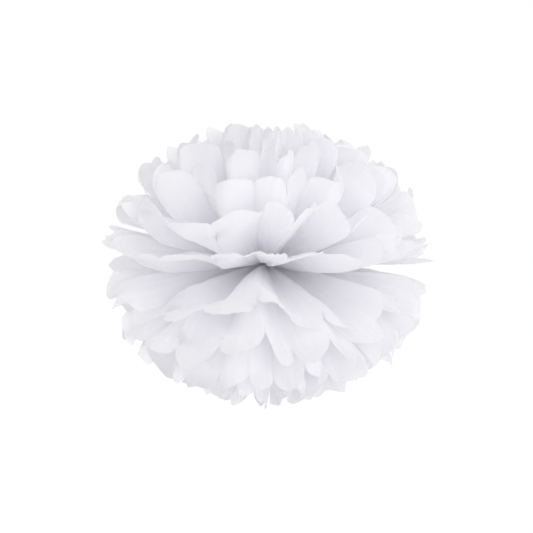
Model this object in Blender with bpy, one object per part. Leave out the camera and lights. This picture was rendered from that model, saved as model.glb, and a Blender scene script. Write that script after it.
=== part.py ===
"""A round tissue paper pom pom: a stack of pleated sheets, tied at the waist and opened into a ball.

Each sheet is folded into an accordion strip and its ends are cut round. The stack is bound at its
middle with a wire, the pleats are fanned out to the front and to the back, and the sheets are drawn
apart, half of them upwards and half downwards. The round ends then stand as petals all over the ball.

Metres, +Z up. The origin is the centre of the wire's eye, which the ball hangs from.
The strips run along Y, and the wire is wound in the XZ plane.
"""
import math
import random

import bpy
import numpy as np

# The paper as it is cut
SHEET_WIDTH = 0.660          # across the pleats
SHEET_LENGTH = 0.350         # along the pleats, from round end to round end
PLEATS = 15                  # petals at each end of a sheet
PAPER = 0.0005               # thickness of the solid that stands for the tissue
END_CUT = 0.0208             # depth of the round cut at the ends

# The waist, where the stack is tied
WAIST_WIDTH = 0.014          # of the gathered pleats
WAIST_LENGTH = 0.008         # of the stretch that the wire holds flat
GATHER = 0.0013              # thickness of one gathered sheet
CLEARANCE = 0.0003           # between neighbouring solids
LOOSENING = 0.026            # petal length over which the gathers open to single paper

# How each sheet stands, from the top one down
RIM_ANGLES = (79.0, 59.5, 40.0, 22.0, 6.0, -10.5, -27.0, -44.0, -61.5, -79.0)  # degrees at the tips
CURL_ANGLES = (8.0, 20.0, 24.0, 10.0, 0.0, 0.0, -10.0, -24.0, -20.0, -8.0)       # that petals bend by
REACH = (0.89, 0.92, 0.97, 0.99, 1.0, 1.0, 0.99, 0.97, 0.92, 0.89)  # length left by the crumples
FOLD_SHARES = (0.6, 0.9, 1.1, 1.1, 0.6, 1.0, 1.1, 1.1, 0.9, 0.6)   # height of the folds at the tips
CURL_POWER = 2.0             # how much of the curl is kept for the tip
BEND_LENGTH = 0.016          # a petal turns up over this length after the waist
SEAM_GAP = 0.0024            # between the end petals of the two halves, at their tips

# How far the pleats of a fan are opened, from its +X end to its -X end, against an even fan
FRONT_OPENING = (0.35, 0.55, 0.95, 1.15, 1.25, 1.2)
BACK_OPENING = (1.2, 1.1, 1.0, 1.0, 0.8, 0.6)

# How the petals differ from one another
SEED = 42
FAN_SPREAD = 0.35            # share by which a pleat opens more or less, in all sheets alike
WIDTH_SPREAD = 0.15          # and in one sheet by itself
FOLD_ANGLE = 7.0             # degrees that a crease stands off at most
FOLDS = (0.4, 1.5)           # share of the folds' height that a pleat keeps
STRAY_STEP = 3.0             # degrees that a fan turns against the one next to it
MOST_STRAY = 8.0             # degrees that it may turn from an even fan
SOFTNESS = 0.4               # how far the creases have rounded out at the tips
SWAY = 3.5                   # degrees that the petals of all sheets rise or sink together
SWAY_KNOTS = 26              # places round the ball where the sway is chosen
LIFTS = (-8.0, 8.0)          # degrees from the waist, away from the equator
CURLS = (-15.0, 30.0)        # degrees of extra bend at a tip
CUPS = (-0.047, 0.047)       # bulge of a petal's middle at its tip, as a share of its length
CRUMPLES = (0.0, 0.05)       # share of its length that a petal loses
USED_ROOM = 0.70             # share of the space between sheets that a petal may stray over

# The wire
WIRE = 0.0010                # diameter
TWIST_TURNS = 2.0
TWIST_PITCH = 0.0052         # length of one turn of the twist
EYE_RADIUS = 0.0050          # to the middle of the wire
EYE_OPENING = 56.0           # degrees of the eye that are left open at the twist

# Fineness of the facets
ROWS = ((0.45, 1), (0.78, 2))  # rows along a petal: share of its length, and points for each pleat
ROUNDING = (0.15, 0.5, 0.85)  # places across a petal where its round end has a point
STEPS = 24                   # of the sum along a petal
TINY = 1e-6                  # keeps divisions safe
STIFFNESS = 0.02             # evens out the offset at a corner whose faces disagree
SHARPEST_MITRE = 3.0         # longest offset at a fold, in half thicknesses
WIRE_POINTS = {"side": 4, "turn": 8, "eye": 12}

SHEETS = len(RIM_ANGLES)
PLEAT_WIDTH = SHEET_WIDTH / PLEATS
PETAL_LENGTH = (SHEET_LENGTH - WAIST_LENGTH) / 2
PITCH = GATHER + CLEARANCE
STACK_HEIGHT = SHEETS * PITCH - CLEARANCE
TWIST_FOOT = STACK_HEIGHT / 2 + CLEARANCE + 2 * WIRE
EYE_HEIGHT = TWIST_FOOT + TWIST_TURNS * TWIST_PITCH + WIRE + EYE_RADIUS
TISSUE_COLOUR = (0.86, 0.86, 0.89, 1.0)
WIRE_COLOUR = (0.82, 0.82, 0.80, 1.0)


def between(values, places):
    """Reads a row of values, one for each half pleat, at places counted in whole pleats."""
    padded = np.concatenate(
        [[2 * values[0] - values[1]], values, [2 * values[-1] - values[-2]]]
    )
    x = np.clip(np.asarray(places, float) * 2, 0, len(values) - 1)
    i = np.clip(x.astype(int), 0, len(values) - 2)
    f = x - i
    a, b, c, d = (padded[i + k] for k in range(4))
    return b + 0.5 * f * (c - a + f * (2 * a - 5 * b + 4 * c - d + f * (3 * (b - c) + d - a)))


class HalfSheet:
    """One fan of petals: the front or the back half of one sheet."""

    def __init__(self, number, side):
        """number counts the sheets from the top; side is -1 for the front half and 1 for the back."""
        self.number = number
        self.side = side
        self.way = math.copysign(1, RIM_ANGLES[number])
        chance = random.Random(f"{SEED} {number} {side}")
        gap = math.asin((SEAM_GAP - WAIST_LENGTH) / 2 / PETAL_LENGTH)
        right, middle, left = self.strays(number)
        self.azimuths = self.spread_pleats(self.opening(), gap, 0.0, math.pi - gap)
        fan = random.Random(f"{SEED} fan {side}")
        widths = [width * (1 + fan.uniform(-FAN_SPREAD, FAN_SPREAD)) for width in self.opening()]
        widths = [width * (1 + chance.uniform(-WIDTH_SPREAD, WIDTH_SPREAD)) for width in widths]
        self.tip_azimuths = self.spread_pleats(widths, gap + right, middle, math.pi - gap + left)
        self.folds = self.petal_values(fan, FOLDS)
        self.folds[[0, -1]] = 0.0  # the end pleats lie flat along the seam
        self.lifts = self.petal_values(chance, LIFTS)
        self.curls = self.petal_values(chance, CURLS)
        self.cups = self.petal_values(chance, CUPS)
        self.crumples = self.petal_values(chance, CRUMPLES)

    def opening(self):
        """How far each pleat is opened, against an even fan."""
        opening = FRONT_OPENING if self.side < 0 else BACK_OPENING
        places = np.linspace(0, len(opening) - 1, PLEATS)
        return np.interp(places, np.arange(len(opening)), opening)

    def spread_pleats(self, widths, start, middle, end):
        """Angles round the ball of the creases and petal middles, for pleats of those widths."""
        creases = np.concatenate([[0], np.cumsum(widths)]) / sum(widths)
        angles = np.empty(2 * PLEATS + 1)
        angles[::2] = creases
        angles[1::2] = (creases[1:] + creases[:-1]) / 2
        return start + angles * (end - start) + middle * np.sin(math.pi * angles)

    def strays(self, number):
        """How far the fan strays at its first end, its middle and its last end.

        The two halves of a sheet share the strays of their ends, which lie along one seam.
        """
        strays = []
        for place in ("right", f"middle {self.side}", "left"):
            chance = random.Random(f"{SEED} stray {place}")
            stray = 0.0
            for _ in range(number + 1):
                stray += chance.uniform(-STRAY_STEP, STRAY_STEP)
                stray = max(-MOST_STRAY, min(MOST_STRAY, stray))
            strays.append(self.side * math.radians(stray))
        return strays

    def petal_values(self, chance, limits):
        """A random value within the limits for each petal, with the creases halfway between."""
        values = np.empty(2 * PLEATS + 1)
        values[1::2] = [chance.uniform(*limits) for _ in range(PLEATS)]
        values[2:-1:2] = (values[1:-2:2] + values[3::2]) / 2
        values[0], values[-1] = values[1], values[-2]
        return values

    def slope(self, along, number):
        """Angle above the horizontal of an even petal of a sheet, at distances along it."""
        curl = math.radians(CURL_ANGLES[number])
        lift = math.radians(RIM_ANGLES[number]) - curl / (CURL_POWER + 1)
        rise = 1 - np.exp(-along / BEND_LENGTH)
        return lift * rise + curl * (along / PETAL_LENGTH) ** CURL_POWER

    def profile(self, along, number):
        """Distance out from the waist and height of an even petal of a sheet."""
        shares = (np.arange(STEPS) + 0.5) / STEPS
        slopes = self.slope(along[..., None] * shares, number)
        reach = along * REACH[number]
        height = ((SHEETS - 1) / 2 - number) * PITCH
        return np.cos(slopes).mean(-1) * reach, np.sin(slopes).mean(-1) * reach + height

    def distance_to(self, along, number):
        """Distance from the even petal to that of another sheet, square to the petal."""
        out, height = self.profile(along, self.number)
        other_out, other_height = self.profile(along, number)
        slope = self.slope(along, self.number)
        return abs((other_height - height) * np.cos(slope) - (other_out - out) * np.sin(slope))

    def room(self, along):
        """How far the sheet may stand off its even petal, on either side."""
        neighbours = [n for n in (self.number - 1, self.number + 1) if 0 <= n < SHEETS]
        gap = np.min([self.distance_to(along, n) for n in neighbours], axis=0)
        return USED_ROOM * np.maximum(gap - thickness(along) - CLEARANCE, 0) / 2

    def points(self, across, along):
        """Points of the sheet's middle surface: across in pleats, along in metres from the waist."""
        across, along = np.broadcast_arrays(np.asarray(across, float), np.asarray(along, float))
        share = along / PETAL_LENGTH
        out, height = self.profile(along, self.number)
        slope = self.slope(along, self.number)
        room = np.maximum(self.room(along), TINY)
        shift = self.way * room * np.tanh(self.stray(across, share) / room)
        shift += self.fold_height(across, out, share)
        foot = ((SHEETS - 1) / 2 - self.number) * PITCH
        crumple = 1 - between(self.crumples, across) * share
        out = (out - shift * np.sin(slope)) * crumple
        height = (height - foot + shift * np.cos(slope)) * crumple + foot
        azimuth = (1 - share) * between(self.azimuths, across) + share * between(self.tip_azimuths, across)
        out, height = sway(out, height, self.side * azimuth)
        x = WAIST_WIDTH * (0.5 - across / PLEATS) + out * np.cos(azimuth)
        y = self.side * (WAIST_LENGTH / 2 + out * np.sin(azimuth))
        return np.stack([x, y, height - EYE_HEIGHT], -1)

    def fold_height(self, across, out, share):
        """Height of the pleats, which is what their paper leaves over as they fan out."""
        opened = (1 - share) * self.opening_at(self.azimuths, across)
        opened += share * self.opening_at(self.tip_azimuths, across)
        height = np.sqrt(np.maximum(PLEAT_WIDTH**2 - (out * opened) ** 2, 0)) / 2
        height = np.minimum(height, math.tan(math.radians(FOLD_ANGLE)) * share * PETAL_LENGTH)
        pleat = np.clip(across.astype(int), 0, PLEATS - 1)
        place = across - pleat
        turn = np.where(pleat % 2 == 0, 1, -1)
        softness = SOFTNESS * share
        wave = (1 - 2 * place) * (1 - softness) + np.cos(math.pi * place) * softness
        kept = between(self.folds, across) * (1 + (FOLD_SHARES[self.number] - 1) * share**2)
        return turn * wave * height * kept

    def opening_at(self, azimuths, across):
        """Angle that a pleat spans round the ball, evened out between neighbours."""
        steps = np.diff(azimuths[::2])
        at_creases = np.concatenate([steps[:1], (steps[1:] + steps[:-1]) / 2, steps[-1:]])
        return np.interp(across, np.arange(PLEATS + 1), at_creases)

    def stray(self, across, share):
        """How far a petal's own lift and curl carry it from an even petal."""
        lift = np.radians(between(self.lifts, across)) * share
        curl = np.radians(between(self.curls, across)) * share**3 / 3
        pleat = np.clip(across.astype(int), 0, PLEATS - 1)
        cup = self.cups[2 * pleat + 1] * np.sin(math.pi * (across - pleat)) * share**2
        return (lift + curl + cup) * PETAL_LENGTH


def sway(out, height, azimuth):
    """Turns the petals of all sheets up or down together, by an angle that varies round the ball."""
    chance = random.Random(f"{SEED} sway")
    knots = [math.radians(chance.uniform(-SWAY, SWAY)) for _ in range(SWAY_KNOTS)]
    knots = np.array(knots[-1:] + knots + knots[:2])
    place = (azimuth / (2 * math.pi) % 1) * SWAY_KNOTS
    turn = between(knots, (place + 1) / 2)
    radius = np.hypot(out, height)
    angle = np.arctan2(height, out)
    angle = angle + turn * np.cos(angle) * radius / PETAL_LENGTH
    return radius * np.cos(angle), radius * np.sin(angle)


def thickness(along):
    """Thickness of the sheet: gathered at the waist, and single paper past it."""
    return GATHER + (PAPER - GATHER) * np.clip(along / LOOSENING, 0, 1)


def end_depth(share):
    """How far the round end is cut back, at a share of the pleat's width."""
    return END_CUT * (1 - math.sqrt(max(0.0, 1 - (2 * share - 1) ** 2)))


class Surface:
    """Points and faces of one sheet's middle surface."""

    def __init__(self):
        self.points = []
        self.halves = []
        self.waist = []
        self.faces = []

    def add_row(self, half, across, along):
        """Adds a row of points of a half sheet, and returns their numbers."""
        points = half.points(across, along)
        start = len(self.points)
        self.points.extend(points)
        self.halves.extend(np.broadcast_to(thickness(along) / 2, len(points)))
        return list(range(start, start + len(points)))

    def join(self, inner, outer, turn):
        """Fills the strip between two rows, of which the outer may have twice as many gaps.

        The triangles' diagonals turn over halfway across, so that both ends of a fan fold alike.
        """
        ratio = (len(outer) - 1) // (len(inner) - 1)
        for i in range(len(inner) - 1):
            near, next_near = inner[i], inner[i + 1]
            far = outer[ratio * i : ratio * (i + 1) + 1]
            if ratio == 2:
                faces = [(near, far[0], far[1]), (near, far[1], next_near), (next_near, far[1], far[2])]
            elif 2 * i < len(inner) - 1:
                faces = [(near, far[0], far[1]), (near, far[1], next_near)]
            else:
                faces = [(near, far[0], next_near), (next_near, far[0], far[1])]
            self.faces.extend(face if turn else face[::-1] for face in faces)


def sheet_surface(number):
    """The middle surface of one sheet, from the front petals' ends to the back ones'."""
    surface = Surface()
    creases = np.arange(PLEATS + 1)
    rows = [(LOOSENING, 1)] + [(share * PETAL_LENGTH, count) for share, count in ROWS]
    shares = (0.0,) + ROUNDING
    rim = np.array([pleat + share for pleat in range(PLEATS) for share in shares] + [PLEATS])
    rim_along = np.array(
        [PETAL_LENGTH - end_depth(share) for _ in range(PLEATS) for share in shares]
        + [PETAL_LENGTH - end_depth(0)]
    )
    for side in (-1, 1):
        half = HalfSheet(number, side)
        turn = side > 0
        inner = surface.add_row(half, creases, np.zeros(PLEATS + 1))
        surface.waist.extend(inner)
        for along, count in rows:
            lines = np.arange(count * PLEATS + 1) / count
            outer = surface.add_row(half, lines, np.full(len(lines), along))
            surface.join(inner, outer, turn)
            inner = outer
        surface.join(inner, surface.add_row(half, rim, rim_along), turn)
    front, back = np.reshape(surface.waist, (2, -1))
    surface.join(back, front, False)
    return surface


def corner_offsets(points, faces):
    """Offset of each point that puts its faces one unit off, limited where a fold is sharp."""
    corners = points[faces]
    normals = np.cross(corners[:, 1] - corners[:, 0], corners[:, 2] - corners[:, 0])
    normals /= np.linalg.norm(normals, axis=1)[:, None]
    products = np.zeros((len(points), 3, 3))
    sums = np.zeros_like(points)
    for k in range(3):
        np.add.at(products, faces[:, k], normals[:, :, None] * normals[:, None, :])
        np.add.at(sums, faces[:, k], normals)
    products += np.eye(3) * STIFFNESS
    offsets = np.linalg.solve(products, sums[:, :, None])[:, :, 0]
    lengths = np.linalg.norm(offsets, axis=1)
    return offsets * np.minimum(1, SHARPEST_MITRE / lengths)[:, None]


def open_edges(faces):
    """Edges that only one face has, in that face's direction."""
    edges = [(face[k], face[(k + 1) % 3]) for face in faces for k in range(3)]
    known = set(edges)
    return [edge for edge in edges if edge[::-1] not in known]


def thicken(surface):
    """Closes the surface into a thin solid, and returns its points and faces."""
    points = np.array(surface.points)
    faces = np.array(surface.faces)
    offsets = corner_offsets(points, faces)
    offsets[surface.waist] = (0.0, 0.0, 1.0)
    offsets *= np.array(surface.halves)[:, None]
    above, below = points + offsets, points - offsets
    count = len(points)
    solid = [tuple(face) for face in faces.tolist()]
    solid += [tuple(corner + count for corner in face[::-1]) for face in faces.tolist()]
    for a, b in open_edges(surface.faces):
        solid += [(b, a, a + count), (b, a + count, b + count)]
    return np.concatenate([above, below]), solid


def tissue_material():
    """White tissue paper."""
    return plain_material("tissue", TISSUE_COLOUR, roughness=0.85, metallic=0.0)


def plain_material(name, colour, roughness, metallic):
    """A Principled material of one colour."""
    material = bpy.data.materials.new(name)
    material.use_nodes = True
    shader = material.node_tree.nodes["Principled BSDF"]
    shader.inputs["Base Color"].default_value = colour
    shader.inputs["Roughness"].default_value = roughness
    shader.inputs["Metallic"].default_value = metallic
    return material


def make_sheet(number, material):
    """One sheet of the stack, as a closed thin solid. Numbers run from the top sheet down."""
    points, faces = thicken(sheet_surface(number))
    name = f"tissue_sheet_{number + 1:02d}"
    mesh = bpy.data.meshes.new(name)
    mesh.from_pydata(points.tolist(), [], faces)
    mesh.materials.append(material)
    mesh.shade_smooth()
    sheet = bpy.data.objects.new(name, mesh)
    bpy.context.scene.collection.objects.link(sheet)
    return sheet


def waist_loop():
    """The wire's way round the waist, from one strand of the twist to the other."""
    wide = WAIST_WIDTH / 2 + CLEARANCE + WIRE / 2
    high = STACK_HEIGHT / 2 + CLEARANCE + WIRE / 2
    corner = CLEARANCE + WIRE / 2
    centres = [
        (wide - corner, high - corner, 90),
        (wide - corner, corner - high, 0),
        (corner - wide, corner - high, -90),
        (corner - wide, high - corner, -180),
    ]
    points = []
    for x, z, start in centres:
        for step in range(WIRE_POINTS["side"]):
            angle = math.radians(start - 90 * step / (WIRE_POINTS["side"] - 1))
            points.append((x + corner * math.cos(angle), 0.0, z + corner * math.sin(angle)))
    return points


def twist_strand(phase):
    """One strand of the twisted stem, from the bottom up."""
    radius = WIRE / 2 + CLEARANCE / 2
    count = round(TWIST_TURNS * WIRE_POINTS["turn"])
    points = []
    for step in range(count + 1):
        angle = phase + 2 * math.pi * TWIST_TURNS * step / count
        height = TWIST_FOOT + TWIST_TURNS * TWIST_PITCH * step / count
        points.append((radius * math.cos(angle), radius * math.sin(angle), height))
    return points


def eye_arc():
    """The open ring at the top of the twist, from its right foot over to its left."""
    count = WIRE_POINTS["eye"]
    points = []
    for step in range(count):
        angle = math.radians(EYE_OPENING / 2 - 90 + (360 - EYE_OPENING) * step / (count - 1))
        points.append((EYE_RADIUS * math.cos(angle), 0.0, EYE_HEIGHT + EYE_RADIUS * math.sin(angle)))
    return points


def make_wire(material):
    """The binding wire: a loop round the waist, its twisted ends and the eye that they form."""
    route = waist_loop() + twist_strand(math.pi) + eye_arc()[::-1] + twist_strand(0.0)[::-1]
    curve = bpy.data.curves.new("binding_wire", "CURVE")
    curve.dimensions = "3D"
    curve.bevel_depth = WIRE / 2
    curve.bevel_resolution = 1
    spline = curve.splines.new("POLY")
    spline.points.add(len(route) - 1)
    for point, (x, y, z) in zip(spline.points, route):
        point.co = (x, y, z - EYE_HEIGHT, 1.0)
    spline.use_cyclic_u = True
    curve.materials.append(material)
    wire = bpy.data.objects.new("binding_wire", curve)
    bpy.context.scene.collection.objects.link(wire)
    return wire


def main():
    """Clears the scene and builds the pom pom."""
    for thing in list(bpy.data.objects):
        bpy.data.objects.remove(thing)
    tissue = tissue_material()
    for number in range(SHEETS):
        make_sheet(number, tissue)
    make_wire(plain_material("wire", WIRE_COLOUR, roughness=0.45, metallic=0.0))


main()
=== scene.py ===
"""Looks of a white tissue paper pom pom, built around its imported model.

Each sheet of the stack is folded again as thin crinkled paper, and the wire that ties the stack is
drawn smooth. Metres, +Z up. The origin is the centre of the wire's eye, which the ball hangs from.
"""
import logging
import math
import random
from dataclasses import dataclass, field
from enum import Enum

import bpy
import numpy as np
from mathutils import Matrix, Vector


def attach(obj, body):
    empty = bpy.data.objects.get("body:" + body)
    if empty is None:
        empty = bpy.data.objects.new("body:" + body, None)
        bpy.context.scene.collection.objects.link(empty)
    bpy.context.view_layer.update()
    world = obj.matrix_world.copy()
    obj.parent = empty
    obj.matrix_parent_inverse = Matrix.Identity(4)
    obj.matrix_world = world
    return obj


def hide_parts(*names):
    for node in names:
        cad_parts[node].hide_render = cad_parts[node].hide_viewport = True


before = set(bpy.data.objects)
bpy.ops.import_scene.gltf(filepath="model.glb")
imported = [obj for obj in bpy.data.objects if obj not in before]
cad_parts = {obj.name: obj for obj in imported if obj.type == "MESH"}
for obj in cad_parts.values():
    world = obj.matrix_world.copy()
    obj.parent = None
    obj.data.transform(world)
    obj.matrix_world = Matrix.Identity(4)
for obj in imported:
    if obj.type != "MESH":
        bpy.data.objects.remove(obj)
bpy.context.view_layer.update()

logger = logging.getLogger("pom_pom")

SEED = 42
TINY = 1e-6  # keeps divisions safe
IMAGE_SIDE = 533


class Half(Enum):
    """The two fans of a sheet. The value is the way along Y that the fan opens."""

    FRONT = -1
    BACK = 1


class Slot(Enum):
    """Material slots of the record."""

    TISSUE = "tissue"
    WIRE = "wire"


@dataclass(frozen=True)
class Paper:
    """A tissue sheet as it is cut, pleated and tied."""

    width: float = 0.660  # across the pleats
    length: float = 0.350  # along the pleats, from round end to round end
    pleats: int = 15  # petals at each end of a sheet
    end_cut: float = 0.0208  # depth of the round cut at the ends
    solid_thickness: float = 0.0005  # of the solid that stands for the tissue
    waist_width: float = 0.014  # of the gathered pleats
    waist_length: float = 0.008  # of the stretch that the wire holds flat
    gather: float = 0.0013  # thickness of one gathered sheet
    clearance: float = 0.0003  # between neighbouring solids
    loosening: float = 0.026  # petal length over which the gathers open to single paper

    @property
    def pleat_width(self) -> float:
        """Width of one pleat, and so of one petal."""
        return self.width / self.pleats

    @property
    def petal_length(self) -> float:
        """Length of a petal from the waist to its tip."""
        return (self.length - self.waist_length) / 2

    @property
    def pitch(self) -> float:
        """Distance from one sheet to the next at the waist."""
        return self.gather + self.clearance


@dataclass(frozen=True)
class Stack:
    """How the sheets stand, from the top one down, and how their fans are opened."""

    # Degrees that the tips stand at, seen from the waist, and degrees that the petals bend by
    rim_angles: tuple[float, ...] = (79.0, 59.5, 40.0, 22.0, 6.0, -10.5, -27.0, -44.0, -61.5, -79.0)
    curl_angles: tuple[float, ...] = (8.0, 20.0, 24.0, 10.0, 0.0, 0.0, -10.0, -24.0, -20.0, -8.0)
    # Shares of the length that the crumples leave, and of the folds' height at the tips
    reach: tuple[float, ...] = (0.89, 0.92, 0.97, 0.99, 1.0, 1.0, 0.99, 0.97, 0.92, 0.89)
    fold_shares: tuple[float, ...] = (0.6, 0.9, 1.1, 1.1, 0.6, 1.0, 1.1, 1.1, 0.9, 0.6)
    # How far the pleats are opened, from a fan's +X end to its -X end, against an even fan
    front_opening: tuple[float, ...] = (0.35, 0.55, 0.95, 1.15, 1.25, 1.2)
    back_opening: tuple[float, ...] = (1.2, 1.1, 1.0, 1.0, 0.8, 0.6)
    curl_power: float = 2.0  # how much of the curl is kept for the tip
    bend_length: float = 0.016  # a petal turns up over this length after the waist
    seam_gap: float = 0.0024  # between the two halves, along the seam
    seam_closing: float = 0.012  # length after the waist over which the seam closes to it
    fan_spread: float = 0.35  # share by which a pleat opens more or less, in all sheets alike
    width_spread: float = 0.15  # and in one sheet by itself
    fold_angle: float = 7.0  # degrees that a crease stands off at most
    folds: tuple[float, float] = (0.4, 1.5)  # share of the folds' height that a pleat keeps
    stray_step: float = 3.0  # degrees that a fan turns against the one next to it
    most_stray: float = 8.0  # degrees that it may turn from an even fan
    softness: float = 0.4  # how far the creases have rounded out at the tips
    sway: float = 3.5  # degrees that the petals of all sheets rise or sink together
    sway_knots: int = 26  # places round the ball where the sway is chosen
    lifts: tuple[float, float] = (-8.0, 8.0)  # degrees from the waist, away from the equator
    curls: tuple[float, float] = (-15.0, 30.0)  # degrees of extra bend at a tip
    cups: tuple[float, float] = (-0.047, 0.047)  # bulge of a petal's middle, against its length
    crumples: tuple[float, float] = (0.0, 0.05)  # share of its length that a petal loses
    used_room: float = 0.70  # share of the space between sheets that a petal may stray over
    steps: int = 24  # of the sum along a petal

    @property
    def sheets(self) -> int:
        """Number of sheets."""
        return len(self.rim_angles)


@dataclass(frozen=True)
class Ends:
    """How the petals' cut ends differ from an even round, and how they have curled."""

    leans: tuple[float, float] = (-0.5, 0.5)  # of the tips to one side, in about quarter pleats
    notches: tuple[float, float] = (0.90, 1.15)  # depth at the creases, against the end cut
    sharpness: tuple[float, float] = (0.3, 1.2)  # how pointed an end is, right at the seam
    point_power: float = 1.1  # at 1 the sides of a pointed end are straight
    seam_power: int = 3  # how much of the sharpness is kept for the seam
    nick_width: float = 0.0045  # of the small nicks along the cut
    nick_depth: float = 0.0004  # and their depth at most
    rolls: tuple[float, float] = (-0.012, 0.012)  # height that the sides of an end roll to
    roll_start: float = 0.03  # share of a pleat, beside its crease, over which a roll sets in
    roll_power: float = 1.5  # how much of the roll is kept for the tip
    tip_curls: tuple[float, float] = (0.003, 0.010)  # how far tips bend away from the equator
    # Share of that bend in each sheet, from the top one down
    tip_shares: tuple[float, ...] = (0.5, 1.0, 1.0, 0.9, 0.15, 0.5, 1.0, 1.0, 1.0, 0.5)


@dataclass(frozen=True)
class Wire:
    """The wire round the waist, its twisted stem and its eye."""

    diameter: float = 0.0010  # with its coat
    turns: float = 2.0  # of the twist
    turn_length: float = 0.0052  # length of one turn of the twist
    eye_radius: float = 0.0050  # to the middle of the wire
    eye_opening: float = 56.0  # degrees of the eye that are left open at the twist
    side_points: int = 9
    turn_points: int = 24
    eye_points: int = 40
    smoothness: int = 4  # of the tube's round section


@dataclass(frozen=True)
class Crinkle:
    """One layer of wrinkles, which grow towards the tip or, as a pinch, fade towards it."""

    height: float  # most that a wrinkle stands off
    across: float  # size of a wrinkle over the flat paper, across the pleats
    along: float  # and along them
    ridged: bool = False  # creased ridges in place of round waves
    turn: float = 0.0  # degrees that the wrinkles are turned over the flat paper
    towards_tip: float = 1.0  # power by which they grow towards the tip
    pinch: float | None = None  # distance from the waist where a pinch is highest

    def strength(self, along: np.ndarray) -> np.ndarray:
        """How strong the layer is.

        Args:
            along: Distances from the waist.

        Returns:
            The share of the full height at each distance.
        """
        if self.pinch is not None:
            return along / self.pinch * np.exp(1 - along / self.pinch)
        return (along / PAPER.petal_length) ** self.towards_tip


PAPER = Paper()
STACK = Stack()
ENDS = Ends()
WIRE = Wire()
STACK_HEIGHT = STACK.sheets * PAPER.pitch - PAPER.clearance
TWIST_FOOT = STACK_HEIGHT / 2 + PAPER.clearance + 2 * WIRE.diameter
EYE_HEIGHT = TWIST_FOOT + WIRE.turns * WIRE.turn_length + WIRE.diameter + WIRE.eye_radius

CRINKLES = (
    Crinkle(height=0.00045, across=0.0038, along=0.055),
    Crinkle(height=0.00075, across=0.0090, along=0.060, ridged=True),
    Crinkle(height=0.00090, across=0.0300, along=0.030, ridged=True, turn=35.0),
    Crinkle(height=0.00240, across=0.0280, along=0.060, towards_tip=2.0),
    Crinkle(height=0.00110, across=0.0110, along=0.025, towards_tip=7.0),
    Crinkle(height=0.00150, across=0.0100, along=0.150, pinch=0.050),
)


def between(values: np.ndarray, places: np.ndarray) -> np.ndarray:
    """Reads a row of values, one for each half pleat, on a smooth curve.

    Args:
        values: The values at the creases and at the petals' middles.
        places: Where to read them, counted in whole pleats.

    Returns:
        The value at each place.
    """
    padded = np.concatenate([[2 * values[0] - values[1]], values, [2 * values[-1] - values[-2]]])
    x = np.clip(np.asarray(places, float) * 2, 0, len(values) - 1)
    i = np.clip(x.astype(int), 0, len(values) - 2)
    f = x - i
    a, b, c, d = (padded[i + k] for k in range(4))
    return b + 0.5 * f * (c - a + f * (2 * a - 5 * b + 4 * c - d + f * (3 * (b - c) + d - a)))


def thickness(along: np.ndarray) -> np.ndarray:
    """Thickness of a sheet: gathered at the waist, and single paper past it."""
    loosened = np.clip(along / PAPER.loosening, 0, 1)
    return PAPER.gather + (PAPER.solid_thickness - PAPER.gather) * loosened


def sway(out: np.ndarray, height: np.ndarray, azimuth: np.ndarray) -> tuple[np.ndarray, np.ndarray]:
    """Turns the petals of all sheets up or down together, by an angle that varies round the ball.

    Args:
        out: Distance from the middle.
        height: Height above the middle.
        azimuth: Angle round the ball.

    Returns:
        The new distances and heights.
    """
    chance = random.Random(f"{SEED} sway")
    knots = [math.radians(chance.uniform(-STACK.sway, STACK.sway)) for _ in range(STACK.sway_knots)]
    knots = np.array(knots[-1:] + knots + knots[:2])
    place = (azimuth / (2 * math.pi) % 1) * STACK.sway_knots
    turn = between(knots, (place + 1) / 2)
    radius = np.hypot(out, height)
    angle = np.arctan2(height, out)
    angle = angle + turn * np.cos(angle) * radius / PAPER.petal_length
    return radius * np.cos(angle), radius * np.sin(angle)


class PaperNoise:
    """Smooth seeded noise over flat paper, from -1 to 1."""

    KNOTS = 64

    def __init__(self, name: str) -> None:
        """Fills the table of knots.

        Args:
            name: Text that the values are drawn from.
        """
        chance = np.random.default_rng(random.Random(name).getrandbits(32))
        self.table = chance.uniform(-1, 1, (self.KNOTS, self.KNOTS))

    def at(self, x: np.ndarray, y: np.ndarray) -> np.ndarray:
        """Reads the noise.

        Args:
            x: Places in one direction, counted in knots.
            y: Places in the other.

        Returns:
            The noise at each place.
        """
        left, low = np.floor(x).astype(int), np.floor(y).astype(int)
        fx, fy = x - left, y - low
        fx, fy = fx * fx * (3 - 2 * fx), fy * fy * (3 - 2 * fy)
        corners = [
            self.table[(left + i) % self.KNOTS, (low + j) % self.KNOTS]
            for i in (0, 1)
            for j in (0, 1)
        ]
        start = corners[0] * (1 - fy) + corners[1] * fy
        end = corners[2] * (1 - fy) + corners[3] * fy
        return start * (1 - fx) + end * fx


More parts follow.
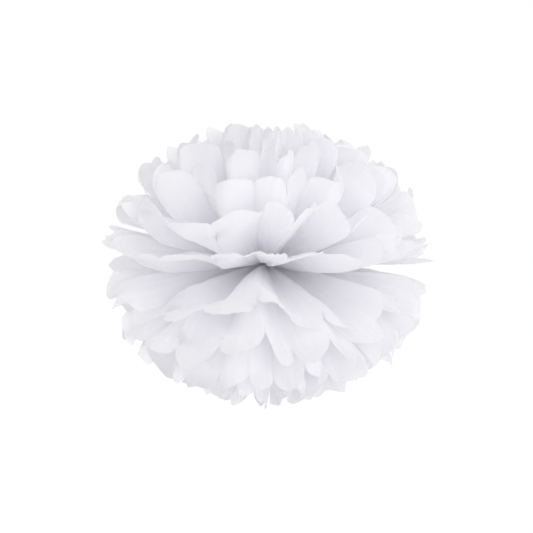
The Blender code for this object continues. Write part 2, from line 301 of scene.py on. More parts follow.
@dataclass
class Fan:
    """One fan of petals: the front or the back half of one sheet."""

    number: int
    half: Half
    columns: int = 30  # of facets in each pleat
    rows: int = 48  # of facets from the waist to the tips
    side: int = field(init=False)
    way: float = field(init=False)
    azimuths: np.ndarray = field(init=False)
    tip_azimuths: np.ndarray = field(init=False)
    folds: np.ndarray = field(init=False)
    lifts: np.ndarray = field(init=False)
    curls: np.ndarray = field(init=False)
    cups: np.ndarray = field(init=False)
    crumples: np.ndarray = field(init=False)

    def __post_init__(self) -> None:
        """Draws what makes this fan differ from the others."""
        self.side = self.half.value
        self.way = math.copysign(1, STACK.rim_angles[self.number])
        chance = random.Random(f"{SEED} {self.number} {self.side}")
        right, middle, left = self.strays()
        self.azimuths = self.spread_pleats(self.opening(), 0.0, 0.0, math.pi)
        fan = random.Random(f"{SEED} fan {self.side}")
        fan_spread, width_spread = STACK.fan_spread, STACK.width_spread
        widths = [w * (1 + fan.uniform(-fan_spread, fan_spread)) for w in self.opening()]
        widths = [w * (1 + chance.uniform(-width_spread, width_spread)) for w in widths]
        self.tip_azimuths = self.spread_pleats(widths, right, middle, math.pi + left)
        self.folds = self.petal_values(fan, STACK.folds)
        self.folds[[0, -1]] = 0.0  # the sheet's edges lie flat along the seam
        self.lifts = self.petal_values(chance, STACK.lifts)
        self.curls = self.petal_values(chance, STACK.curls)
        self.cups = self.petal_values(chance, STACK.cups)
        self.crumples = self.petal_values(chance, STACK.crumples)

    def opening(self) -> np.ndarray:
        """How far the pleats are opened, against an even fan.

        Returns:
            One share for each pleat.
        """
        opening = STACK.front_opening if self.half is Half.FRONT else STACK.back_opening
        places = np.linspace(0, len(opening) - 1, PAPER.pleats)
        return np.interp(places, np.arange(len(opening)), opening)

    def spread_pleats(
        self, widths: list[float] | np.ndarray, start: float, middle: float, end: float
    ) -> np.ndarray:
        """Angles round the ball of the creases and of the petals' middles.

        Args:
            widths: Shares of the fan that the pleats take.
            start: Angle of the first edge.
            middle: How far the fan's middle strays.
            end: Angle of the last edge.

        Returns:
            One angle for each half pleat.
        """
        creases = np.concatenate([[0], np.cumsum(widths)]) / sum(widths)
        angles = np.empty(2 * PAPER.pleats + 1)
        angles[::2] = creases
        angles[1::2] = (creases[1:] + creases[:-1]) / 2
        return start + angles * (end - start) + middle * np.sin(math.pi * angles)

    def strays(self) -> list[float]:
        """How far the fan strays from an even one, step by step from the top sheet down.

        Returns:
            The angles at its first end, its middle and its last end.
        """
        strays = []
        for place in ("right", f"middle {self.side}", "left"):
            chance = random.Random(f"{SEED} stray {place}")
            stray = 0.0
            for _ in range(self.number + 1):
                stray += chance.uniform(-STACK.stray_step, STACK.stray_step)
                stray = max(-STACK.most_stray, min(STACK.most_stray, stray))
            strays.append(self.side * math.radians(stray))
        return strays

    def petal_values(self, chance: random.Random, limits: tuple[float, float]) -> np.ndarray:
        """Draws a value for each petal, with the creases halfway between.

        Args:
            chance: Where the values are drawn from.
            limits: Lowest and highest value.

        Returns:
            One value for each half pleat.
        """
        values = np.empty(2 * PAPER.pleats + 1)
        values[1::2] = [chance.uniform(*limits) for _ in range(PAPER.pleats)]
        values[2:-1:2] = (values[1:-2:2] + values[3::2]) / 2
        values[0], values[-1] = values[1], values[-2]
        return values

    def slope(self, along: np.ndarray, number: int) -> np.ndarray:
        """Angle above the horizontal of an even petal.

        Args:
            along: Distances from the waist.
            number: The sheet that the petal is on.

        Returns:
            The angle at each distance.
        """
        curl = math.radians(STACK.curl_angles[number])
        lift = math.radians(STACK.rim_angles[number]) - curl / (STACK.curl_power + 1)
        rise = 1 - np.exp(-along / STACK.bend_length)
        return lift * rise + curl * (along / PAPER.petal_length) ** STACK.curl_power

    def profile(self, along: np.ndarray, number: int) -> tuple[np.ndarray, np.ndarray]:
        """Way of an even petal out from the waist.

        Args:
            along: Distances from the waist.
            number: The sheet that the petal is on.

        Returns:
            The distances out and the heights.
        """
        shares = (np.arange(STACK.steps) + 0.5) / STACK.steps
        slopes = self.slope(along[..., None] * shares, number)
        reach = along * STACK.reach[number]
        height = np.sin(slopes).mean(-1) * reach + waist_height(number)
        return np.cos(slopes).mean(-1) * reach, height

    def room(self, along: np.ndarray) -> np.ndarray:
        """How far the sheet may stand off its even petal, on either side.

        Args:
            along: Distances from the waist.

        Returns:
            The room at each distance.
        """
        out, height = self.profile(along, self.number)
        slope = self.slope(along, self.number)
        gaps = []
        for number in (self.number - 1, self.number + 1):
            if 0 <= number < STACK.sheets:
                other_out, other_height = self.profile(along, number)
                up = (other_height - height) * np.cos(slope)
                gaps.append(abs(up - (other_out - out) * np.sin(slope)))
        gap = np.min(gaps, axis=0) - thickness(along) - PAPER.clearance
        return STACK.used_room * np.maximum(gap, 0) / 2

    def opened(self, across: np.ndarray, share: np.ndarray) -> np.ndarray:
        """Angle that a pleat spans round the ball.

        Args:
            across: Places across the sheet, in pleats.
            share: Shares of the petal's length.

        Returns:
            The angle, evened out between neighbouring pleats.
        """
        spans = []
        for azimuths in (self.azimuths, self.tip_azimuths):
            steps = np.diff(azimuths[::2])
            creases = np.concatenate([steps[:1], (steps[1:] + steps[:-1]) / 2, steps[-1:]])
            spans.append(np.interp(across, np.arange(PAPER.pleats + 1), creases))
        return (1 - share) * spans[0] + share * spans[1]

    def zigzag(self, across: np.ndarray, softness: np.ndarray) -> np.ndarray:
        """The pleats' rise and fall, from -1 to 1.

        Args:
            across: Places across the sheet, in pleats.
            softness: How far the creases have rounded out.

        Returns:
            The height at each place.
        """
        pleat = np.clip(across.astype(int), 0, PAPER.pleats - 1)
        place = across - pleat
        wave = (1 - 2 * place) * (1 - softness) + np.cos(math.pi * place) * softness
        return np.where(pleat % 2 == 0, 1, -1) * wave

    def fold_height(self, across: np.ndarray, out: np.ndarray, share: np.ndarray) -> np.ndarray:
        """Height of the pleats, which is what their paper leaves over as they fan out.

        Args:
            across: Places across the sheet, in pleats.
            out: Distances from the waist.
            share: Shares of the petal's length.

        Returns:
            The height at each place.
        """
        span = out * self.opened(across, share)
        height = np.sqrt(np.maximum(PAPER.pleat_width**2 - span**2, 0)) / 2
        highest = math.tan(math.radians(STACK.fold_angle)) * share * PAPER.petal_length
        kept = between(self.folds, across) * (1 + (STACK.fold_shares[self.number] - 1) * share**2)
        return self.zigzag(across, STACK.softness * share) * np.minimum(height, highest) * kept

    def stray(self, across: np.ndarray, share: np.ndarray) -> np.ndarray:
        """How far a petal's own lift, curl and cup carry it from an even petal.

        Args:
            across: Places across the sheet, in pleats.
            share: Shares of the petal's length.

        Returns:
            The distance at each place.
        """
        lift = np.radians(between(self.lifts, across)) * share
        curl = np.radians(between(self.curls, across)) * share**3 / 3
        pleat = np.clip(across.astype(int), 0, PAPER.pleats - 1)
        cup = self.cups[2 * pleat + 1] * np.sin(math.pi * (across - pleat)) * share**2
        return (lift + curl + cup) * PAPER.petal_length

    def points(self, across: np.ndarray, along: np.ndarray) -> np.ndarray:
        """Points of the smooth sheet, before its wrinkles.

        Args:
            across: Places across the sheet, in pleats.
            along: Distances from the waist.

        Returns:
            The points, with their three coordinates last.
        """
        share = along / PAPER.petal_length
        out, height = self.profile(along, self.number)
        slope = self.slope(along, self.number)
        room = np.maximum(self.room(along), TINY)
        shift = self.way * room * np.tanh(self.stray(across, share) / room)
        shift += self.fold_height(across, out, share)
        foot = waist_height(self.number)
        crumple = 1 - between(self.crumples, across) * share
        out = (out - shift * np.sin(slope)) * crumple
        height = (height - foot + shift * np.cos(slope)) * crumple + foot
        azimuth = (1 - share) * between(self.azimuths, across)
        azimuth = azimuth + share * between(self.tip_azimuths, across)
        out, height = sway(out, height, self.side * azimuth)
        height = height + self.gathers(across, along)
        x = PAPER.waist_width * (0.5 - across / PAPER.pleats) + out * np.cos(azimuth)
        closed = (1 - np.exp(-along / STACK.seam_closing)) * (1 - np.sin(azimuth))
        seam = PAPER.waist_length - (PAPER.waist_length - STACK.seam_gap) * closed
        y = self.side * (seam / 2 + out * np.sin(azimuth))
        return np.stack([x, y, height - EYE_HEIGHT], -1)

    def gathers(self, across: np.ndarray, along: np.ndarray) -> np.ndarray:
        """Height of the pressed pleats at the waist, which open out past it.

        Args:
            across: Places across the sheet, in pleats.
            along: Distances from the waist.

        Returns:
            The height at each place.
        """
        pressed = np.clip(1 - along / PAPER.loosening, 0, 1)
        return self.zigzag(across, np.zeros_like(across)) * pressed * PAPER.gather / 2

    def ends(self, across: np.ndarray) -> np.ndarray:
        """Length of the paper from the waist to its cut end.

        Args:
            across: Places across the sheet, in pleats.

        Returns:
            The length at each place.
        """
        pleat = np.minimum(across.astype(int), PAPER.pleats - 1)
        place = across - pleat
        chance = random.Random(f"{SEED} ends {self.number} {self.side}")
        leans = np.array([chance.uniform(*ENDS.leans) for _ in range(PAPER.pleats)])
        notches = np.array([chance.uniform(*ENDS.notches) for _ in range(PAPER.pleats + 1)])
        depth = np.interp(across, np.arange(PAPER.pleats + 1), notches)
        place = place + leans[pleat] * (place * (1 - place)) ** 2 * 4
        arc = 1 - np.sqrt(np.maximum(0, 1 - (2 * place - 1) ** 2))
        sharp = np.array([chance.uniform(*ENDS.sharpness) for _ in range(PAPER.pleats)])
        seam_side = np.abs(2 * across / PAPER.pleats - 1) ** ENDS.seam_power
        arc += (np.abs(2 * place - 1) ** ENDS.point_power - arc) * sharp[pleat] * seam_side
        nicks = PaperNoise(f"{SEED} nicks {self.number} {self.side}")
        nick = nicks.at(across * PAPER.pleat_width / ENDS.nick_width, np.zeros_like(across))
        nick = np.abs(nick * ENDS.nick_depth)
        return PAPER.petal_length - PAPER.end_cut * arc * depth - nick

    def wrinkles(self, across: np.ndarray, along: np.ndarray) -> np.ndarray:
        """Height of the crinkles that the paper took as it was opened by hand.

        Args:
            across: Places across the sheet, in pleats.
            along: Distances from the waist.

        Returns:
            The height at each place.
        """
        u = across * PAPER.pleat_width
        height = np.zeros_like(u)
        for layer, crinkle in enumerate(CRINKLES):
            noise = PaperNoise(f"{SEED} crinkle {layer} {self.number} {self.side}")
            angle = math.radians(crinkle.turn)
            x = (u * math.cos(angle) + along * math.sin(angle)) / crinkle.across
            y = (along * math.cos(angle) - u * math.sin(angle)) / crinkle.along
            value = noise.at(x, y)
            if crinkle.ridged:
                value = 1 - 2 * np.abs(value)
            height += value * crinkle.height * crinkle.strength(along)
        left_free = self.room(along) * (1 / STACK.used_room - 1)
        limit = left_free + (thickness(along) + PAPER.clearance) / 2
        limit = limit * self.flatness(across, along)
        return limit * np.tanh(height / limit) + self.rolled_sides(across, along)

    def flatness(self, across: np.ndarray, along: np.ndarray) -> np.ndarray:
        """How flat a pleat lies: 1 when it is opened flat, and less as its sides stand up.

        Args:
            across: Places across the sheet, in pleats.
            along: Distances from the waist.

        Returns:
            The cosine of its sides' angle at each place.
        """
        out, _ = self.profile(along, self.number)
        share = along / PAPER.petal_length
        span = np.maximum(out * self.opened(across, share), TINY)
        rise = 2 * self.fold_height(np.round(across), out, share)
        return span / np.hypot(span, rise)

    def rolled_sides(self, across: np.ndarray, along: np.ndarray) -> np.ndarray:
        """How far the round ends have curled: sides up or down, and tips away from the equator.

        Args:
            across: Places across the sheet, in pleats.
            along: Distances from the waist.

        Returns:
            The height at each place.
        """
        pleat = np.minimum(across.astype(int), PAPER.pleats - 1)
        place = across - pleat
        chance = random.Random(f"{SEED} rolls {self.number} {self.side}")
        rolls = np.array([chance.uniform(*ENDS.rolls) for _ in range(2 * PAPER.pleats)])
        near = rolls[2 * pleat] * np.clip(1 - 2 * place, 0, 1) ** 2
        far = rolls[2 * pleat + 1] * np.clip(2 * place - 1, 0, 1) ** 2
        free = np.clip(np.minimum(place, 1 - place) / ENDS.roll_start, 0, 1)
        past_notch = np.clip((along - PAPER.petal_length) / PAPER.end_cut + 1, 0, 1)
        tips = np.array([chance.uniform(*ENDS.tip_curls) for _ in range(PAPER.pleats)])
        away = -self.way * ENDS.tip_shares[self.number] * tips[pleat]
        return (near + far) * free * past_notch**ENDS.roll_power + away * past_notch**2

    def grid(self) -> tuple[np.ndarray, np.ndarray, np.ndarray]:
        """Points of the crinkled fan, row by row from the waist.

        Returns:
            The points, and their places across and along the flat paper.
        """
        even = np.linspace(0, 1, self.columns + 1)
        places = (even + (1 - np.cos(math.pi * even)) / 2) / 2
        starts = [pleat + places[:-1] for pleat in range(PAPER.pleats)]
        lines = np.concatenate(starts + [[PAPER.pleats]]).astype(float)
        across, share = np.meshgrid(lines, np.linspace(0, 1, self.rows + 1))
        along = share * self.ends(lines)
        points = self.points(across, along)
        ahead = np.gradient(points, axis=0)
        aside = np.gradient(points, axis=1)
        normals = np.cross(aside, ahead)
        normals /= np.maximum(np.linalg.norm(normals, axis=-1, keepdims=True), TINY**2)
        points += normals * self.wrinkles(across, along)[..., None] * self.side
        return points, across, along


def waist_height(number: int) -> float:
    """Height of a sheet's waist above the middle of the stack."""
    return ((STACK.sheets - 1) / 2 - number) * PAPER.pitch


@dataclass(frozen=True)
class TissueFinish:
    """White tissue paper: thin, matt, and bright where light comes through it."""

    name: str = "tissue_paper"
    colour: tuple[float, float, float] = (0.890, 0.886, 0.912)
    thin_colour: tuple[float, float, float] = (0.952, 0.949, 0.970)  # where fibres lie thin
    hub_painted_light_colour: tuple[float, float, float] = (0.980, 0.978, 0.984)  # painted light at the waist, which lifts the shade of the deep hub
    glow_colour: tuple[float, float, float] = (0.974, 0.970, 0.988)  # of light from behind
    roughness: tuple[float, float] = (0.65, 0.85)
    specular: float = 0.25  # low, as tissue hardly shines
    see_through: float = 0.70  # share of the light that the paper passes on
    hub_painted_light_share: float = 0.16  # share of the sheet's length over which the painted light at the waist fades out
    cloud_size: float = 0.006  # of the clouds of fibres
    ray_size: float = 0.0022  # width of the fine streaks along the petals
    ray_stretch: float = 14.0  # their length against their width
    bump_height: float = 0.00035
    bump_strength: float = 0.6

    def make(self, unevenness: bpy.types.ShaderNodeTree) -> bpy.types.Material:
        """Builds the material.

        Args:
            unevenness: The shared node group of fine unevenness.

        Returns:
            The material.
        """
        material = bpy.data.materials.new(self.name)
        material.use_nodes = True
        tree = material.node_tree
        shader = tree.nodes["Principled BSDF"]
        shader.inputs["Specular IOR Level"].default_value = self.specular
        paper = tree.nodes.new("ShaderNodeUVMap")
        paper.uv_map = "paper"
        flat = tree.nodes.new("ShaderNodeMapping")
        flat.inputs["Scale"].default_value = (PAPER.width, PAPER.length, 1.0)
        tree.links.new(paper.outputs["UV"], flat.inputs["Vector"])
        clouds = tree.nodes.new("ShaderNodeGroup")
        clouds.node_tree = unevenness
        clouds.inputs["Size"].default_value = self.cloud_size
        clouds.inputs["Stretch"].default_value = 1.0
        rays = tree.nodes.new("ShaderNodeGroup")
        rays.node_tree = unevenness
        rays.inputs["Size"].default_value = self.ray_size
        rays.inputs["Stretch"].default_value = self.ray_stretch
        for group in (clouds, rays):
            tree.links.new(flat.outputs["Vector"], group.inputs["Vector"])
        tone = tree.nodes.new("ShaderNodeMix")
        tone.data_type = "RGBA"
        tone.inputs["A"].default_value = (*self.colour, 1.0)
        tone.inputs["B"].default_value = (*self.thin_colour, 1.0)
        tree.links.new(rays.outputs["Mask"], tone.inputs["Factor"])
        # painted light: the paper is whitened towards the waist so that the shaded hub looks
        # lighter
        hub_painted_light_mix = tree.nodes.new("ShaderNodeMix")
        hub_painted_light_mix.data_type = "RGBA"
        hub_painted_light_mix.inputs["B"].default_value = (*self.hub_painted_light_colour, 1.0)
        tree.links.new(self.make_hub_painted_light(tree, paper.outputs["UV"]), hub_painted_light_mix.inputs["Factor"])
        tree.links.new(tone.outputs["Result"], hub_painted_light_mix.inputs["A"])
        tree.links.new(hub_painted_light_mix.outputs["Result"], shader.inputs["Base Color"])
        gloss = tree.nodes.new("ShaderNodeMapRange")
        gloss.inputs["To Min"].default_value = self.roughness[0]
        gloss.inputs["To Max"].default_value = self.roughness[1]
        tree.links.new(clouds.outputs["Mask"], gloss.inputs["Value"])
        tree.links.new(gloss.outputs["Result"], shader.inputs["Roughness"])
        bump = tree.nodes.new("ShaderNodeBump")
        bump.inputs["Strength"].default_value = self.bump_strength
        bump.inputs["Distance"].default_value = self.bump_height
        tree.links.new(rays.outputs["Height"], bump.inputs["Height"])
        tree.links.new(bump.outputs["Normal"], shader.inputs["Normal"])
        glow = tree.nodes.new("ShaderNodeBsdfTranslucent")
        glow.inputs["Color"].default_value = (*self.glow_colour, 1.0)
        tree.links.new(bump.outputs["Normal"], glow.inputs["Normal"])
        mix = tree.nodes.new("ShaderNodeMixShader")
        mix.inputs["Fac"].default_value = self.see_through
        tree.links.new(shader.outputs["BSDF"], mix.inputs[1])
        tree.links.new(glow.outputs["BSDF"], mix.inputs[2])
        tree.links.new(mix.outputs["Shader"], tree.nodes["Material Output"].inputs["Surface"])
        return material

    def make_hub_painted_light(
        self, tree: bpy.types.NodeTree, paper: bpy.types.NodeSocket
    ) -> bpy.types.NodeSocket:
        """A mask for painted light that rises to 1 at the waist and whitens the paper there,
        lifting the shade of the deep hub.

        Args:
            tree: The material's nodes.
            paper: Place on the flat sheet, as shares of its width and length.

        Returns:
            The socket that puts it out.
        """
        apart = tree.nodes.new("ShaderNodeSeparateXYZ")
        tree.links.new(paper, apart.inputs["Vector"])
        offset = tree.nodes.new("ShaderNodeMath")
        offset.operation = "SUBTRACT"
        offset.inputs[1].default_value = 0.5
        tree.links.new(apart.outputs["Y"], offset.inputs[0])
        distance = tree.nodes.new("ShaderNodeMath")
        distance.operation = "ABSOLUTE"
        tree.links.new(offset.outputs["Value"], distance.inputs[0])
        share = tree.nodes.new("ShaderNodeMapRange")
        share.inputs["From Max"].default_value = self.hub_painted_light_share
        share.inputs["To Min"].default_value = 1.0
        share.inputs["To Max"].default_value = 0.0
        tree.links.new(distance.outputs["Value"], share.inputs["Value"])
        return share.outputs["Result"]


@dataclass(frozen=True)
class WireFinish:
    """White plastic coat on thin wire."""

    name: str = "coated_wire"
    colour: tuple[float, float, float] = (0.82, 0.82, 0.80)
    rubbed_colour: tuple[float, float, float] = (0.74, 0.74, 0.72)
    roughness: tuple[float, float] = (0.35, 0.55)
    mark_size: float = 0.0015  # of the rubbed marks on the coat
    bump_height: float = 0.00005

    def make(self, unevenness: bpy.types.ShaderNodeTree) -> bpy.types.Material:
        """Builds the material.

        Args:
            unevenness: The shared node group of fine unevenness.

        Returns:
            The material.
        """
        material = bpy.data.materials.new(self.name)
        material.use_nodes = True
        tree = material.node_tree
        shader = tree.nodes["Principled BSDF"]
        place = tree.nodes.new("ShaderNodeTexCoord")
        marks = tree.nodes.new("ShaderNodeGroup")
        marks.node_tree = unevenness
        marks.inputs["Size"].default_value = self.mark_size
        marks.inputs["Stretch"].default_value = 1.0
        tree.links.new(place.outputs["Object"], marks.inputs["Vector"])
        tone = tree.nodes.new("ShaderNodeMix")
        tone.data_type = "RGBA"
        tone.inputs["A"].default_value = (*self.colour, 1.0)
        tone.inputs["B"].default_value = (*self.rubbed_colour, 1.0)
        tree.links.new(marks.outputs["Mask"], tone.inputs["Factor"])
        tree.links.new(tone.outputs["Result"], shader.inputs["Base Color"])
        gloss = tree.nodes.new("ShaderNodeMapRange")
        gloss.inputs["To Min"].default_value = self.roughness[0]
        gloss.inputs["To Max"].default_value = self.roughness[1]
        tree.links.new(marks.outputs["Mask"], gloss.inputs["Value"])
        tree.links.new(gloss.outputs["Result"], shader.inputs["Roughness"])
        bump = tree.nodes.new("ShaderNodeBump")
        bump.inputs["Distance"].default_value = self.bump_height
        tree.links.new(marks.outputs["Height"], bump.inputs["Height"])
        tree.links.new(bump.outputs["Normal"], shader.inputs["Normal"])
        return material


@dataclass(frozen=True)
class Unevenness:
    """Fine unevenness, which the paper's fibres and the wire's coat share."""

    detail: float = 3.0
    mask: tuple[float, float] = (0.35, 0.65)  # values of the noise where the mask starts and ends

    def make(self) -> bpy.types.ShaderNodeTree:
        """Builds the node group.

        Returns:
            The group, with a vector in metres, a size in metres and a stretch along Y as inputs.
        """
        group = bpy.data.node_groups.new("unevenness", "ShaderNodeTree")
        group.interface.new_socket("Vector", in_out="INPUT", socket_type="NodeSocketVector")
        group.interface.new_socket("Size", in_out="INPUT", socket_type="NodeSocketFloat")
        group.interface.new_socket("Stretch", in_out="INPUT", socket_type="NodeSocketFloat")
        group.interface.new_socket("Mask", in_out="OUTPUT", socket_type="NodeSocketFloat")
        group.interface.new_socket("Height", in_out="OUTPUT", socket_type="NodeSocketFloat")
        nodes, links = group.nodes, group.links
        given = nodes.new("NodeGroupInput")
        put_out = nodes.new("NodeGroupOutput")
        longer = nodes.new("ShaderNodeMath")
        longer.operation = "MULTIPLY"
        links.new(given.outputs["Size"], longer.inputs[0])
        links.new(given.outputs["Stretch"], longer.inputs[1])
        sizes = nodes.new("ShaderNodeCombineXYZ")
        links.new(given.outputs["Size"], sizes.inputs["X"])
        links.new(longer.outputs["Value"], sizes.inputs["Y"])
        links.new(given.outputs["Size"], sizes.inputs["Z"])
        scaled = nodes.new("ShaderNodeVectorMath")
        scaled.operation = "DIVIDE"
        links.new(given.outputs["Vector"], scaled.inputs[0])
        links.new(sizes.outputs["Vector"], scaled.inputs[1])
        noise = nodes.new("ShaderNodeTexNoise")
        noise.inputs["Scale"].default_value = 1.0
        noise.inputs["Detail"].default_value = self.detail
        links.new(scaled.outputs["Vector"], noise.inputs["Vector"])
        mask = nodes.new("ShaderNodeMapRange")
        mask.inputs["From Min"].default_value = self.mask[0]
        mask.inputs["From Max"].default_value = self.mask[1]
        links.new(noise.outputs["Fac"], mask.inputs["Value"])
        links.new(mask.outputs["Result"], put_out.inputs["Mask"])
        links.new(noise.outputs["Fac"], put_out.inputs["Height"])
        return group


@dataclass
class TissueSheet:
    """One sheet of the stack, with its front and its back fan. Numbers run from the top down."""

    number: int

    @property
    def node(self) -> str:
        """The solid that the sheet stands for."""
        return f"tissue_sheet_{self.number + 1:02d}"

    def build(self, finish: bpy.types.Material) -> bpy.types.Object:
        """Makes the sheet as one surface of paper.

        Args:
            finish: The tissue material.

        Returns:
            The sheet.
        """
        grids = [Fan(self.number, half).grid() for half in (Half.FRONT, Half.BACK)]
        (front, across, front_along), (back, _, back_along) = grids
        points = np.concatenate([front[::-1], back])
        across = np.concatenate([across, across])
        along = np.concatenate([-front_along[::-1], back_along])
        rows, columns = along.shape
        numbers = np.arange(rows * columns).reshape(rows, columns)
        corners = (numbers[:-1, :-1], numbers[:-1, 1:], numbers[1:, 1:], numbers[1:, :-1])
        faces = np.stack(corners, -1).reshape(-1, 4)
        mesh = bpy.data.meshes.new(f"paper_{self.number + 1:02d}")
        mesh.from_pydata(points.reshape(-1, 3).tolist(), [], faces.tolist())
        mesh.shade_smooth()
        flat = np.stack([across / PAPER.pleats, self.flat_share(along)], -1).reshape(-1, 2)
        loops = np.empty(len(mesh.loops), int)
        mesh.loops.foreach_get("vertex_index", loops)
        mesh.uv_layers.new(name="paper").data.foreach_set("uv", flat[loops].ravel())
        mesh.materials.append(finish)
        sheet = bpy.data.objects.new(mesh.name, mesh)
        bpy.context.scene.collection.objects.link(sheet)
        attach(sheet, "root")
        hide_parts(self.node)
        return sheet

    def flat_share(self, along: np.ndarray) -> np.ndarray:
        """Share of the flat sheet's length, for signed distances from the waist."""
        return 0.5 + (along + np.sign(along) * PAPER.waist_length / 2) / PAPER.length


@dataclass
class BindingWire:
    """The wire that ties the stack and ends in the eye."""

    node: str = "binding_wire"

    def waist_loop(self) -> list[tuple[float, float, float]]:
        """The wire's way round the waist.

        Returns:
            The loop's points.
        """
        corner = PAPER.clearance + WIRE.diameter / 2
        wide = PAPER.waist_width / 2
        high = STACK_HEIGHT / 2
        centres = [(wide, high, 90), (wide, -high, 0), (-wide, -high, -90), (-wide, high, -180)]
        points = []
        for x, z, start in centres:
            for step in range(WIRE.side_points):
                angle = math.radians(start - 90 * step / (WIRE.side_points - 1))
                points.append((x + corner * math.cos(angle), 0.0, z + corner * math.sin(angle)))
        return points

    def strand(self, phase: float) -> list[tuple[float, float, float]]:
        """One strand of the twisted stem, from the bottom up.

        Args:
            phase: Angle round the stem at which the strand starts.

        Returns:
            The strand's points.
        """
        radius = (WIRE.diameter + PAPER.clearance) / 2
        count = round(WIRE.turns * WIRE.turn_points)
        points = []
        for step in range(count + 1):
            angle = phase + 2 * math.pi * WIRE.turns * step / count
            height = TWIST_FOOT + WIRE.turns * WIRE.turn_length * step / count
            points.append((radius * math.cos(angle), radius * math.sin(angle), height))
        return points

    def eye(self) -> list[tuple[float, float, float]]:
        """The open ring at the top of the twist.

        Returns:
            The ring's points.
        """
        points = []
        for step in range(WIRE.eye_points):
            turn = (360 - WIRE.eye_opening) * step / (WIRE.eye_points - 1)
            angle = math.radians(WIRE.eye_opening / 2 - 90 + turn)
            x, z = WIRE.eye_radius * math.cos(angle), WIRE.eye_radius * math.sin(angle)
            points.append((x, 0.0, EYE_HEIGHT + z))
        return points

    def build(self, finish: bpy.types.Material) -> bpy.types.Object:
        """Makes the wire as one closed tube.

        Args:
            finish: The wire's material.

        Returns:
            The wire.
        """
        route = self.waist_loop() + self.strand(math.pi) + self.eye()[::-1] + self.strand(0.0)[::-1]
        curve = bpy.data.curves.new("tie_wire", "CURVE")
        curve.dimensions = "3D"
        curve.bevel_depth = WIRE.diameter / 2
        curve.bevel_resolution = WIRE.smoothness
        spline = curve.splines.new("POLY")
        spline.points.add(len(route) - 1)
        for point, (x, y, z) in zip(spline.points, route):
            point.co = (x, y, z - EYE_HEIGHT, 1.0)
        spline.use_cyclic_u = True
        spline.use_smooth = True
        curve.materials.append(finish)
        wire = bpy.data.objects.new("tie_wire", curve)
        bpy.context.scene.collection.objects.link(wire)
        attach(wire, "root")
        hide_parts(self.node)
        return wire


@dataclass(frozen=True)
class Lamp:
    """A soft square lamp that points at the ball."""

    name: str
    place: tuple[float, float, float]  # from the point that it lights
    side: float  # of the square
    level: float  # that white paper facing it gets

    def build(self, aim: Vector) -> None:
        """Hangs the lamp.

        Args:
            aim: The point that it lights, where white paper facing it gets its level.
        """
        data = bpy.data.lights.new(self.name, "AREA")
        data.size = self.side
        lamp = bpy.data.objects.new(self.name, data)
        lamp.location = aim + Vector(self.place)
        distance = Vector(self.place).length
        data.energy = self.level * (math.pi * distance) ** 2
        lamp.rotation_euler = (-Vector(self.place)).to_track_quat("-Z", "Y").to_euler()
        bpy.context.scene.collection.objects.link(lamp)


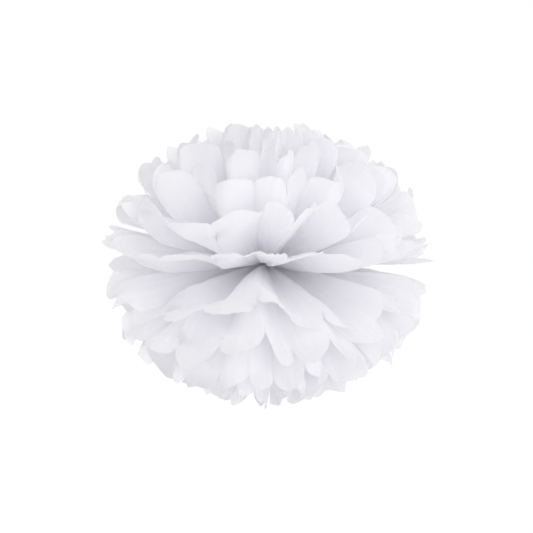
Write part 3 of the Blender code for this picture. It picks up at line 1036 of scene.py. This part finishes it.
@dataclass(frozen=True)
class Studio:
    """A white floor and backdrop, soft light and the camera."""

    floor_drop: float = 0.62  # below the ball's middle
    floor_side: float = 12.0
    sky_level: float = 0.60
    floor_colour: float = 0.9
    floor_roughness: float = 0.9
    floor_glow: float = 0.45  # seen in the picture and in gloss only
    lens: float = 85.0  # millimetres, and so is the sensor
    sensor: float = 36.0
    pixel: float = 0.00106  # metres at the ball for each pixel of the picture
    elevation: float = 8.0  # degrees that the camera stands above the ball's middle
    aim_drop: float = 0.0037  # of the picture's middle below the ball's
    lamps: tuple[Lamp, ...] = (
        Lamp("key", (0.3, -1.8, 0.30), side=0.8, level=0.35),
        Lamp("fill", (0.7, -1.4, -0.3), side=1.4, level=0.11),
    )

    def build(self) -> None:
        """Makes everything round the ball."""
        hub = Vector((0.0, 0.0, -EYE_HEIGHT))
        self.make_world()
        self.make_floor(hub)
        for lamp in self.lamps:
            lamp.build(hub)
        self.make_camera(hub - Vector((0.0, 0.0, self.aim_drop)))
        bpy.context.scene.view_settings.view_transform = "Standard"

    def seen_rays(self, tree: bpy.types.NodeTree) -> bpy.types.NodeSocket:
        """A value that is 1 for the rays that show the background.

        Args:
            tree: The nodes that it goes into.

        Returns:
            The socket that puts it out.
        """
        rays = tree.nodes.new("ShaderNodeLightPath")
        seen = rays.outputs["Is Camera Ray"]
        for name in ("Is Glossy Ray", "Is Transmission Ray"):
            larger = tree.nodes.new("ShaderNodeMath")
            larger.operation = "MAXIMUM"
            tree.links.new(seen, larger.inputs[0])
            tree.links.new(rays.outputs[name], larger.inputs[1])
            seen = larger.outputs["Value"]
        return seen

    def make_world(self) -> None:
        """A white sky that lights at its own level."""
        world = bpy.data.worlds.new("sky")
        bpy.context.scene.world = world
        world.use_nodes = True
        tree = world.node_tree
        light = tree.nodes["Background"]
        light.inputs["Color"].default_value = (1.0, 1.0, 1.0, 1.0)
        light.inputs["Strength"].default_value = self.sky_level
        white = tree.nodes.new("ShaderNodeBackground")
        white.inputs["Color"].default_value = (1.0, 1.0, 1.0, 1.0)
        mix = tree.nodes.new("ShaderNodeMixShader")
        tree.links.new(self.seen_rays(tree), mix.inputs["Fac"])
        tree.links.new(light.outputs["Background"], mix.inputs[1])
        tree.links.new(white.outputs["Background"], mix.inputs[2])
        tree.links.new(mix.outputs["Shader"], tree.nodes["World Output"].inputs["Surface"])

    def make_floor(self, hub: Vector) -> None:
        """A pale floor well below the ball, that keeps a soft shadow.

        Args:
            hub: Middle of the ball.
        """
        half = self.floor_side / 2
        height = hub.z - self.floor_drop
        sides = [(-half, -half), (half, -half), (half, half), (-half, half)]
        corners = [(x, y, height) for x, y in sides]
        mesh = bpy.data.meshes.new("floor")
        mesh.from_pydata(corners, [], [(0, 1, 2, 3)])
        material = bpy.data.materials.new("floor")
        material.use_nodes = True
        tree = material.node_tree
        shader = tree.nodes["Principled BSDF"]
        shader.inputs["Base Color"].default_value = (self.floor_colour,) * 3 + (1.0,)
        shader.inputs["Roughness"].default_value = self.floor_roughness
        shader.inputs["Emission Color"].default_value = (1.0, 1.0, 1.0, 1.0)
        shine = tree.nodes.new("ShaderNodeMath")
        shine.operation = "MULTIPLY"
        shine.inputs[1].default_value = self.floor_glow
        tree.links.new(self.seen_rays(tree), shine.inputs[0])
        tree.links.new(shine.outputs["Value"], shader.inputs["Emission Strength"])
        mesh.materials.append(material)
        floor = bpy.data.objects.new("floor", mesh)
        bpy.context.scene.collection.objects.link(floor)

    def make_camera(self, aim: Vector) -> None:
        """A camera a little above the ball's middle, as in the photograph.

        Args:
            aim: The point in the middle of the picture.
        """
        data = bpy.data.cameras.new("camera")
        data.lens = self.lens
        data.sensor_width = self.sensor
        camera = bpy.data.objects.new("camera", data)
        angle = math.radians(self.elevation)
        back = Vector((0.0, -math.cos(angle), math.sin(angle)))
        camera.location = aim + back * self.pixel * IMAGE_SIDE * self.lens / self.sensor
        camera.rotation_euler = (math.pi / 2 - angle, 0.0, 0.0)
        bpy.context.scene.collection.objects.link(camera)
        bpy.context.scene.camera = camera


def main() -> None:
    """Builds the ball and what stands round it."""
    logging.basicConfig(level=logging.INFO, format="%(message)s")
    Studio().build()
    unevenness = Unevenness().make()
    tissue = TissueFinish().make(unevenness)
    for number in range(STACK.sheets):
        sheet = TissueSheet(number).build(tissue)
        logger.info("%s: %d faces", sheet.name, len(sheet.data.polygons))
    wire = BindingWire().build(WireFinish().make(unevenness))
    logger.info("%s: %d points", wire.name, len(wire.data.splines[0].points))


if __name__ == "__main__":
    main()
